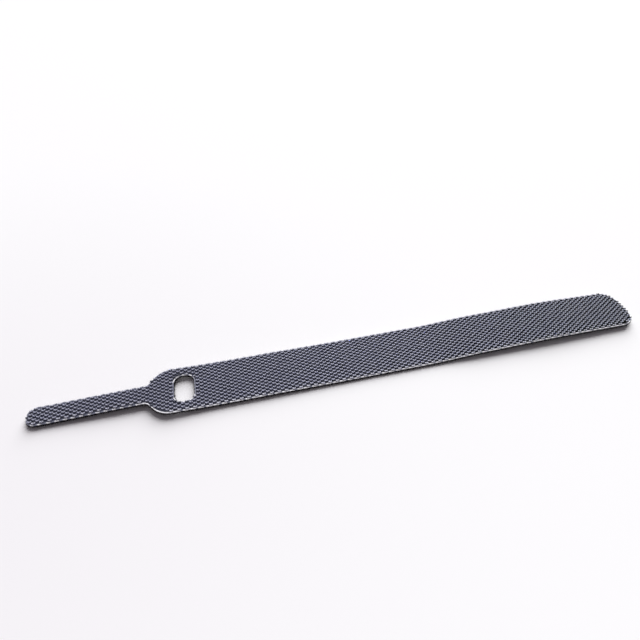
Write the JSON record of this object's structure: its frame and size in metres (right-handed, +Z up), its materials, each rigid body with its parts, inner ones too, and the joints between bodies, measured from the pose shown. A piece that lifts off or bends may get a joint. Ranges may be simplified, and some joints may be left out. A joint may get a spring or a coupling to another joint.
{
  "type": "hook and loop cable tie",
  "caption": "Flat hook and loop cable tie: a band with a rounded end, a rounded slot and a narrow tongue that threads through it, hooks on one face and loops on the other.",
  "frame": {"origin": "middle of the tie's box, at table level, the height of the flat stretch that it rests on", "axes": "+X along the tie from the tongue to the wide end, +Y across it, +Z up out of the hook side"},
  "size_m": [0.15, 0.012, 0.0023],
  "materials": {
    "hook_film": "moulded slate grey film covered in small hooks, satin",
    "loop_pile": "deep black knitted loop pile with faint ribs across it"
  },
  "bodies": {
    "root": {"hook_sheet": "hook_film", "loop_fabric": "loop_pile"}
  },
  "joints": []
}
